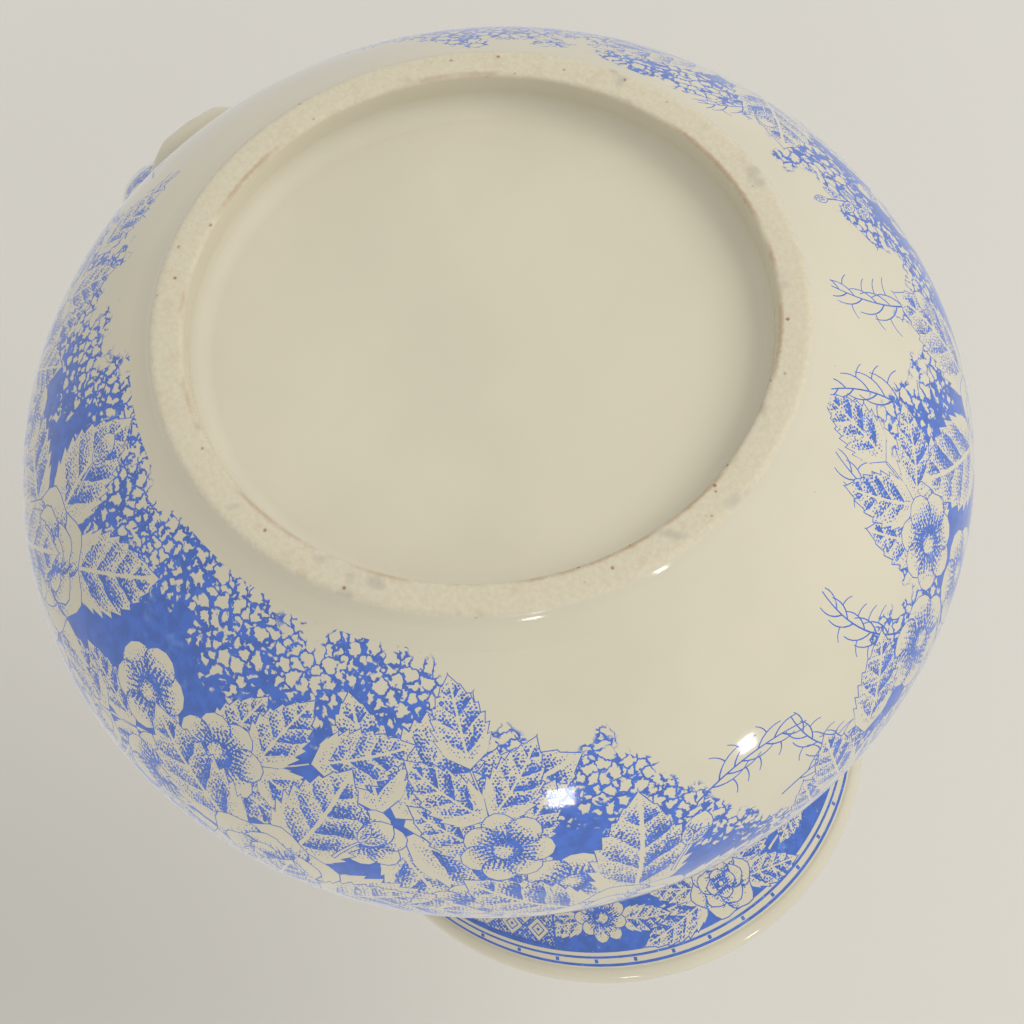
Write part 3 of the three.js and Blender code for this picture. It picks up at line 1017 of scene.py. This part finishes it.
def foot_finish():
    """Glazed sides, and a worn resting face with specks and a brown line at its inner edge."""
    finish = Finish("worn foot")
    colours = finish.colours
    across, deep, high = finish.coordinates(finish.place)
    radius = finish.math("SQRT", (across - AXIS_X * 1000) ** 2.0 + deep ** 2.0)
    worn = finish.step(high + finish.noise(3) * 0.8, 1.7, 0.7)
    grain = finish.step(finish.noise(1.2, 4, 0.65), 0.3, 0.7)
    bare = finish.mix(grain, tint(209, 200, 173), tint(217, 209, 185))
    cloud = finish.step(finish.noise(7, 4, 0.7), 0.52, 0.72)
    bare = finish.mix(cloud * 0.22, bare, tint(190, 158, 112))
    grey = finish.step(finish.noise(11), 0.62, 0.72)
    bare = finish.mix(grey * 0.4, bare, tint(160, 156, 146))
    from_edge = abs(radius - 65.8) + finish.noise(1.4, 3) * 0.9
    line = finish.step(from_edge, 1.35, 0.45) * finish.step(finish.noise(26, 3, 0.6), 0.42, 0.62)
    bare = finish.mix(line * 0.5, bare, tuple(colours.stain))
    dots = finish.step(finish.cells(3.6), 0.17, 0.08) * finish.step(finish.noise(4, 1), 0.5, 0.6)
    bare = finish.mix(dots * 0.8, bare, tint(150, 96, 48))
    return finish.ceramic(finish.mix(worn, finish.cream(0.96, 1.02), bare),
                          finish.step(worn, 0.0, 1.0, colours.gloss, 0.5),
                          finish.noise(0.8, 4, 0.6) * worn, 0.25, 0.0004)


def handle_finish():
    """Feathered blue strokes along the handle's back, fading to bare glaze inside."""
    finish = Finish("printed handle")
    along, around = finish.coordinates(finish.node("UVMap", uv_map="Along").outputs[0])[:2]
    ridge = abs(around - 0.5)
    beat = abs(finish.math("FRACT", along * 12.0 + ridge * -5.0) - 0.5)
    blade = finish.step(beat + ridge * 1.6, 0.52, 0.40)
    tip = finish.step(ridge + finish.noise(2.2) * 0.06, 0.27, 0.2)
    vein = finish.step(ridge, 0.008, 0.016)
    ends = finish.step(along, 0.1, 0.16) * finish.step(along, 0.93, 0.86)
    shade = finish.step(finish.noise(3.0), 0.3, 0.7, 0.35, 0.8)
    return finish.glazed(finish.stippled(blade * tip * vein * ends * shade))


# --- Pieces -----------------------------------------------------------------------------------------


def pot_form():
    return PotForm(bpy.context.scene.pitcher_form)


def curve_between(points, count=8):
    """Points of a quadratic curve from the first point to the third, drawn to the second."""
    a, b, c = (np.array(point, float) for point in points)
    return [tuple((1 - t) ** 2 * a + 2 * t * (1 - t) * b + t * t * c) for t in np.linspace(0, 1, count)]


class PITCHER_OT_foot_ring(bpy.types.Operator):
    """Turns the low foot ring, with rounded edges and glaze gathered in its outer crease"""

    bl_idname = "pitcher.foot_ring"
    bl_label = "Foot Ring"

    def execute(self, context):
        form = pot_form()
        inner, outer, high = form.foot_inner, form.foot_outer, form.foot_height
        crease = form.belly_at(high)
        reach = 6.2
        section = (
            curve_between([(inner + 0.05, 1.5), (inner + 0.1, 0.02), (inner + 1.5, 0.0)], 7)
            + curve_between([(outer - 1.5, 0.0), (outer + 0.15, 0.02), (outer + 0.75, 1.6)], 7)
            + curve_between([(outer + 1.55, 3.0), (crease + 0.15, high - 0.1),
                             (form.belly_at(reach) + 0.02, reach)], 9)
            + [(form.belly_at(reach) - 2.5, reach), (inner + 1.2, high + 1.2), (inner - 0.28, high)]
        )
        piece = turned_piece("turned_foot", section + [section[0]])
        finish_piece(piece, ["foot_ring"], [foot_finish()])
        return {"FINISHED"}


class PITCHER_OT_base_floor(bpy.types.Operator):
    """Turns the recessed floor with its cove"""

    bl_idname = "pitcher.base_floor"
    bl_label = "Base Floor"

    def execute(self, context):
        form = pot_form()
        low, high = form.foot_height, FLOOR_HIGH.z * 1000
        under, sag = 10.0, 0.25
        cove, wall = under - low, form.foot_inner - 0.3
        level = wall - cove
        curve = [(level + cove * math.cos(a), low + cove * math.sin(a))
                 for a in np.linspace(0, math.pi / 2, 14)]
        flat = [(radius, under - sag * (1 - (radius / level) ** 2)) for radius in (50, 38, 26, 14, 6, 0)]
        top = [(0, high - 0.3), (30, high - 0.2), (60, high - 0.1),
               (form.belly_at(high, form.wall) - 0.1, high)]
        side = [(form.belly_at(low) - 1.0, low + 0.5), (wall + 2.0, low + 0.01)]
        section = curve + flat + top + side
        piece = turned_piece("recessed_floor", section + [section[0]], smooth=30)
        finish_piece(piece, ["base_floor"], [Finish("cream glaze floor").glazed()])
        return {"FINISHED"}


class PITCHER_OT_body(bpy.types.Operator):
    """Draws the floral print on the belly, shoulder and neck, and lines the pot inside"""

    bl_idname = "pitcher.body"
    bl_label = "Printed Body"

    def execute(self, context):
        form = pot_form()
        strip = BodyStrip(form)
        skin = inlaid_skin("printed_body", strip, body_print(strip, context.scene.pitcher_finish.seed),
                           printed_finishes())
        inner = form.profile(FLOOR_HIGH.z * 1000, form.wall)
        runs = np.linspace(0, 1, len(inner))

        def place(across, up):
            turn = (across - 0.5) * FULL_TURN
            radius, height = (np.interp(up, runs, inner[:, k]) for k in (0, 1))
            return np.stack([radius * np.cos(turn), radius * np.sin(turn), height], -1)

        lining = wrapped_grid("body_lining", strip.columns, 26, place, mapped=False)
        body = smoothed(walled(skin, lining))
        finish_piece(body, ["belly", "shoulder", "neck"])
        return {"FINISHED"}


class PITCHER_OT_pouring_lip(bpy.types.Operator):
    """Draws the flared lip out to the spout, with the printed border round its outside"""

    bl_idname = "pitcher.pouring_lip"
    bl_label = "Pouring Lip"

    def execute(self, context):
        form = pot_form()
        strip = LipStrip(form)
        shapes = lip_print(strip)
        lattice_panels(shapes, strip)
        finishes = printed_finishes()
        skin = inlaid_skin("flared_lip", strip, shapes,
                           finishes[RESERVE:] + finishes[LEAF:] + [panel_finish()])

        def place(across, up):
            return form.lip((across - 0.5) * FULL_TURN, up, form.wall + (form.lip_thickness - form.wall) * up)

        lining = wrapped_grid("lip_lining", strip.columns, 20, place, mapped=False)
        lip = smoothed(walled(skin, lining))
        finish_piece(lip, ["pouring_lip"])
        return {"FINISHED"}


class PITCHER_OT_lip_roll(bpy.types.Operator):
    """Rounds the rim's plain cream edge"""

    bl_idname = "pitcher.lip_roll"
    bl_label = "Lip Roll"

    def execute(self, context):
        form = pot_form()
        half = form.lip_thickness / 2
        bead = [(-0.6, -0.25), (-0.25, 0.08), (0.3, 0.3)]
        round_edge = [(0.9 + 2.9 * math.cos(a), (half + 0.4) * math.sin(a))
                      for a in np.linspace(math.pi / 2, -math.pi / 2, 15)]
        section = ([(-0.6, 0.0)] + [(x, half + swell) for x, swell in bead] + round_edge
                   + [(x, -half - swell) for x, swell in reversed(bead)])
        section = np.array(section + [section[0]])
        runs = np.linspace(0, 1, len(section))

        def place(across, up):
            along, out = (np.interp(up, runs, section[:, k]) for k in (0, 1))
            return form.lip((across - 0.5) * FULL_TURN, np.ones_like(up), half - out, along)

        roll = wrapped_grid("rounded_rim", 256, len(section) - 1, place)
        edit_only(roll)
        bpy.ops.mesh.remove_doubles(threshold=1e-6)
        end_edit(smooth=50)
        finish_piece(roll, ["lip_roll"], [Finish("cream glaze rim").glazed()])
        return {"FINISHED"}


class PITCHER_OT_handle(bpy.types.Operator):
    """Pulls the strap handle from its curled-out lower end to the back of the lip"""

    bl_idname = "pitcher.handle"
    bl_label = "Handle"

    def execute(self, context):
        form, settings = pot_form(), context.scene.pitcher_form
        belly, widest, rim = form.belly_radius, form.widest, form.rim_height
        back = form.back_radius - form.back_reach
        marks = np.array([
            (belly + 7.5, widest - 12.5), (belly + 2, widest - 0.5), (belly + 6.5, widest + 13.5),
            (belly + 19.5, widest + 28.5), (belly + 35, widest + 42.5), (belly + 42.8, rim - 40),
            (belly + 38.5, rim - 28), (belly + 20.5, rim - 19), (back + 47, rim - 15), (back + 21, rim - 14),
            (back - 7, rim - 12)])
        line = smooth_line(marks)
        runs = np.concatenate([[0], np.cumsum(np.hypot(*np.diff(line, axis=0).T))])
        runs /= runs[-1]
        along = np.gradient(line, runs, axis=0)
        along /= np.hypot(along[:, 0], along[:, 1])[:, None]
        grip, thick = settings.grip_width * 1000, settings.grip_thickness * 1000
        low_width, high_width, end_thick = 34, 27, 9

        def place(across, up):
            middle = np.stack([np.interp(across, runs, line[:, k]) for k in (0, 1)], -1)
            way = np.stack([np.interp(across, runs, along[:, k]) for k in (0, 1)], -1)
            low = 1 - ease(across, 0.1, 0.3)
            high = ease(across, 0.65, 0.95)
            tip = np.sqrt(np.minimum(1, across / 0.045 + 0.12)) * np.where(across < 1e-6, 0.0, 1.0)
            width = (grip + (low_width - grip) * low + (high_width - grip) * high) * tip
            depth = (thick + (end_thick - thick) * np.maximum(low, high)) * tip
            angle = (up - 0.25) * FULL_TURN
            side = np.cos(angle) * np.abs(np.cos(angle)) ** -0.12
            out = np.sin(angle) * depth / 2
            reach = middle[:, 0] + way[:, 1] * out
            height = middle[:, 1] - way[:, 0] * out
            across_table = turned_about(np.stack([-reach, side * width / 2], -1), form.handle_turn)
            return np.concatenate([across_table, height[:, None]], -1)

        strap = wrapped_grid("strap_handle", 150, 32, place)
        edit_only(strap)
        bpy.ops.mesh.remove_doubles(threshold=1e-6)
        bpy.ops.mesh.select_all(action="DESELECT")
        bpy.ops.mesh.select_non_manifold()
        bpy.ops.mesh.edge_face_add()
        end_edit(smooth=50)
        nodes = ["handle_lower_terminal", "handle_strap", "handle_upper_terminal"]
        finish_piece(strap, nodes, [handle_finish()])
        return {"FINISHED"}


def ease(value, low, high):
    share = np.clip((value - low) / (high - low), 0, 1)
    return share * share * (3 - 2 * share)


def smooth_line(marks, fine=40):
    """A smooth line through points, by the spacing of their distances' square roots."""
    ends = np.concatenate([[2 * marks[0] - marks[1]], marks, [2 * marks[-1] - marks[-2]]])
    line = []
    for a, b, c, d in zip(ends, ends[1:], ends[2:], ends[3:]):
        t = np.cumsum([0] + [math.sqrt(np.hypot(*(q - p))) for p, q in ((a, b), (b, c), (c, d))])
        for now in np.linspace(t[1], t[2], fine, endpoint=False):
            def blend(p, q, start, end):
                return p * (end - now) / (end - start) + q * (now - start) / (end - start)
            ab, bc, cd = blend(a, b, t[0], t[1]), blend(b, c, t[1], t[2]), blend(c, d, t[2], t[3])
            line.append(blend(blend(ab, bc, t[0], t[2]), blend(bc, cd, t[1], t[3]), t[1], t[2]))
    return np.array(line + [marks[-1]])


# --- Stage ------------------------------------------------------------------------------------------


BACKDROP = tint(232, 230, 224)
BOARD = tint(226, 223, 215)
FLOOR_SIDE = 12.0
UPPER_BOARD_HEIGHT = 0.38
WARM, NEUTRAL = (1, 0.99, 0.97), (1, 1, 1)
# Name, place from the pot's axis, size, power, colour, and whether the glaze mirrors it
LAMPS = [
    ("window_left", (1.287, -0.144, 0.22), (0.07, 0.13), 0.55, WARM, True),
    ("window_right", (1.146, 0.612, 0.02), (0.11, 0.16), 0.75, WARM, True),
    ("window_behind", (-0.55, -0.35, 1.2), (0.16, 0.22), 1.6, WARM, True),
    ("low_soft", (0.55, -0.75, -0.95), (0.9, 0.9), 8, WARM, False),
    ("high_soft", (-0.45, -0.8, 1.15), (1.0, 1.0), 6, WARM, False),
    ("high_fill", (0.8, 0.9, 0.9), (0.9, 0.9), 4, NEUTRAL, False),
]


def one_sided_board(name, corners):
    """A pale board that is seen from its front only, keeps the object's shadow and fades far out."""
    mesh = bpy.data.meshes.new(name)
    mesh.from_pydata(corners, [], [(0, 1, 2, 3)])
    board = bpy.data.objects.new(name, mesh)
    bpy.context.collection.objects.link(board)
    finish = Finish(name)
    along, across, _ = finish.coordinates(finish.place)
    away = finish.math("SQRT", along ** 2.0 + across ** 2.0)
    matte = finish.node("BsdfDiffuse", {"Color": BOARD})
    glow = finish.node("Emission", {"Color": BACKDROP})
    front = finish.node("MixShader", {0: finish.step(away, 320, 900), 1: matte.outputs[0], 2: glow.outputs[0]})
    behind = finish.node("NewGeometry").outputs["Backfacing"]
    clear = finish.node("BsdfTransparent")
    mesh.materials.append(finish.shown(
        finish.node("MixShader", {0: behind, 1: front.outputs[0], 2: clear.outputs[0]})))
    board.visible_diffuse = board.visible_glossy = board.visible_shadow = board.visible_transmission = False


def lamp(name, place, aim, size, power, colour, mirrored):
    light = bpy.data.lights.new(name, "AREA")
    light.shape, (light.size, light.size_y) = "RECTANGLE", size
    light.energy, light.color = power, colour
    made = bpy.data.objects.new(name, light)
    made.location = place
    made.rotation_mode = "QUATERNION"
    made.rotation_quaternion = (aim - place).to_track_quat("-Z", "Y")
    made.visible_glossy = mirrored
    bpy.context.collection.objects.link(made)


def soft_room(scene):
    """A world that lights softly, and that the camera sees in the backdrop's colour."""
    world = scene.world = bpy.data.worlds.new("soft room")
    world.use_nodes = True
    nodes, links = world.node_tree.nodes, world.node_tree.links
    nodes.clear()
    out, paths, seen, lit, both = (nodes.new("ShaderNode" + kind) for kind in (
        "OutputWorld", "LightPath", "Background", "Background", "MixShader"))
    seen.inputs[0].default_value = (*BACKDROP, 1)
    lit.inputs[0].default_value, lit.inputs[1].default_value = (1, 0.99, 0.975, 1), 0.66
    links.new(paths.outputs["Is Camera Ray"], both.inputs[0])
    links.new(lit.outputs[0], both.inputs[1])
    links.new(seen.outputs[0], both.inputs[2])
    links.new(both.outputs[0], out.inputs[0])


class PITCHER_OT_stage(bpy.types.Operator):
    """Sets the camera at the photographed angle, pale boards and soft light"""

    bl_idname = "pitcher.stage"
    bl_label = "Stage"

    def execute(self, context):
        scene = context.scene
        eye = Vector((AXIS_X + 0.250175, 0.155387, -0.462240))
        right = Vector((0.6189980, -0.7833987, 0.0559267))
        up = Vector((-0.6781665, -0.5690492, -0.4650518))
        back = Vector((0.3961461, 0.2499386, -0.8835151))
        lens = bpy.data.cameras.new("camera")
        lens.sensor_width, lens.lens = 36.0, 87.890625
        camera = bpy.data.objects.new("camera", lens)
        camera.matrix_world = Matrix.Translation(eye) @ Matrix((right, up, back)).transposed().to_4x4()
        scene.collection.objects.link(camera)
        scene.camera = camera

        around = ((-1, -1), (1, -1), (1, 1), (-1, 1))
        one_sided_board("floor", [(x * FLOOR_SIDE, y * FLOOR_SIDE, 0) for x, y in around])
        # The upper board faces down and just fills the photographed view
        reach = lens.sensor_width / 2 / lens.lens * 1.03
        ways = [-back + (right * across + up * rise) * reach for across, rise in around]
        one_sided_board("upper_board", [eye + way * ((UPPER_BOARD_HEIGHT - eye.z) / way.z) for way in ways])

        soft_room(scene)
        axis, middle = Vector((AXIS_X, 0, 0)), Vector((AXIS_X, 0, 0.08))
        for name, place, size, power, colour, mirrored in LAMPS:
            lamp(name, axis + Vector(place), middle, size, power, colour, mirrored)
        scene.view_settings.view_transform = "Standard"
        return {"FINISHED"}


OPERATORS = (PITCHER_OT_foot_ring, PITCHER_OT_base_floor, PITCHER_OT_body, PITCHER_OT_pouring_lip,
             PITCHER_OT_lip_roll, PITCHER_OT_handle, PITCHER_OT_stage)


class PITCHER_PT_panel(bpy.types.Panel):
    """The pitcher's sizes, colours and steps"""

    bl_label = "Pitcher"
    bl_idname = "PITCHER_PT_panel"
    bl_space_type = "VIEW_3D"
    bl_region_type = "UI"
    bl_category = "Pitcher"

    def draw(self, context):
        for group in (context.scene.pitcher_form, context.scene.pitcher_finish):
            box = self.layout.box()
            for name in group.__annotations__:
                box.prop(group, name)
        for operator in OPERATORS:
            self.layout.operator(operator.bl_idname)


CLASSES = (PitcherForm, PitcherFinish, *OPERATORS, PITCHER_PT_panel)


def register():
    for each in CLASSES:
        bpy.utils.register_class(each)
    bpy.types.Scene.pitcher_form = PointerProperty(type=PitcherForm)
    bpy.types.Scene.pitcher_finish = PointerProperty(type=PitcherFinish)


def unregister():
    del bpy.types.Scene.pitcher_finish
    del bpy.types.Scene.pitcher_form
    for each in reversed(CLASSES):
        bpy.utils.unregister_class(each)


def main():
    register()
    bpy.ops.pitcher.foot_ring()
    bpy.ops.pitcher.base_floor()
    bpy.ops.pitcher.body()
    bpy.ops.pitcher.pouring_lip()
    bpy.ops.pitcher.lip_roll()
    bpy.ops.pitcher.handle()
    bpy.ops.pitcher.stage()
    unselect_all()


if __name__ == "__main__":
    main()
